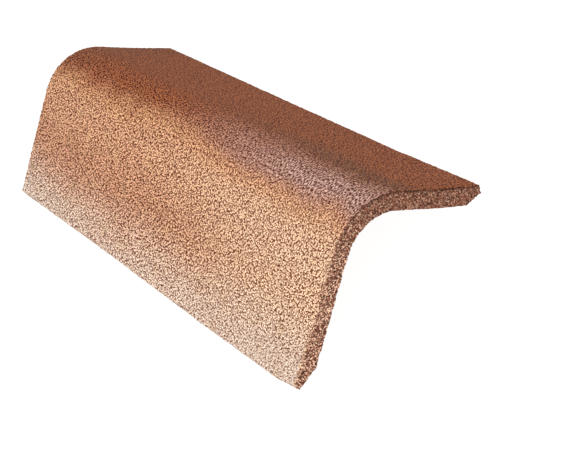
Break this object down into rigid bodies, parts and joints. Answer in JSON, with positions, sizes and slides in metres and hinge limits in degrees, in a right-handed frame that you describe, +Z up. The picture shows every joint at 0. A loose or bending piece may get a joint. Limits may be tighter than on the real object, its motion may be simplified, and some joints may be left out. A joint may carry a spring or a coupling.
{
  "type": "verge tile",
  "caption": "Angular roof verge tile: a bent plate with a rounded crown and two flat wings of unequal length, sand-faced orange-buff concrete.",
  "frame": {"origin": "on the ground, below the middle of the tile's footprint", "axes": "+Y runs along the tile, away from the front end that the picture shows; +Z is up with the tile standing like a tent on its two wings; the longer gable wing goes down towards -X and the roof wing down towards +X"},
  "size_m": [0.1908, 0.42, 0.0731],
  "materials": {
    "sand_faced_concrete": "through-coloured concrete with a coarse sand facing, orange-buff with brown and violet-grey flashes"
  },
  "bodies": {
    "root": {"verge_tile": "sand_faced_concrete"}
  },
  "joints": []
}
